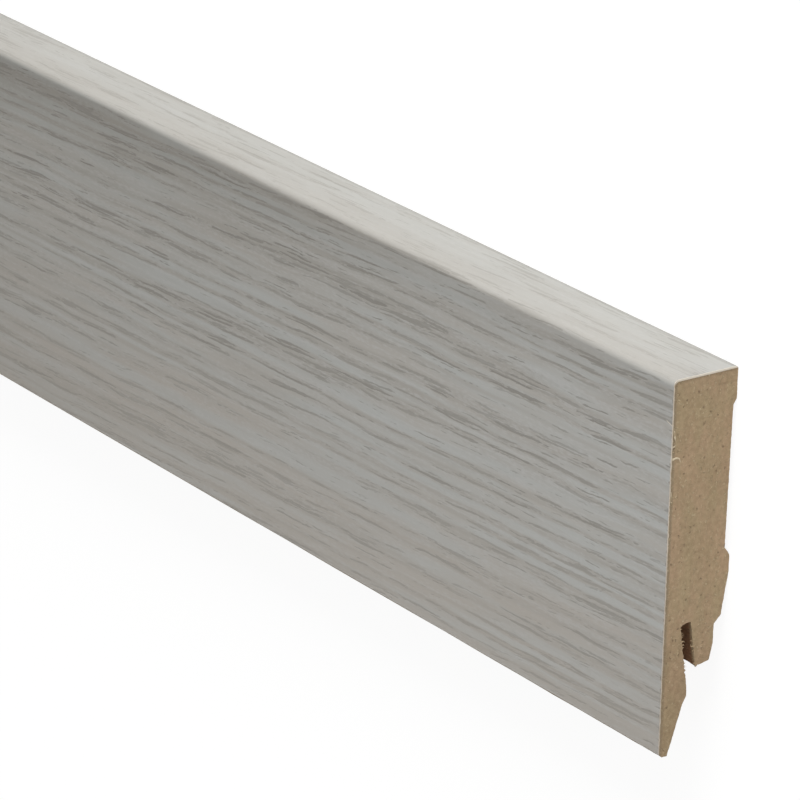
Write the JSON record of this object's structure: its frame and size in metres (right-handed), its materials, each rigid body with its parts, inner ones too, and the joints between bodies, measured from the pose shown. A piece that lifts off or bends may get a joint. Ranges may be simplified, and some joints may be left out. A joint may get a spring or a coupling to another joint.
{
  "type": "skirting board length",
  "caption": "Straight length of slim skirting board in foil-wrapped fibreboard, with a clip slot, a tongue and a shallow relief milled along its back.",
  "frame": {"origin": "under the middle of the board, on the wall plane that its back lies on", "axes": "+X along the board, +Y from its bottom edge to its top edge, +Z from the wall side to the face"},
  "size_m": [2.4, 0.06, 0.012],
  "materials": {
    "fibreboard": "matte",
    "wood_grain_foil": "matte"
  },
  "bodies": {
    "root": {"fibreboard_core": "fibreboard", "decor_foil": "wood_grain_foil"}
  },
  "joints": []
}
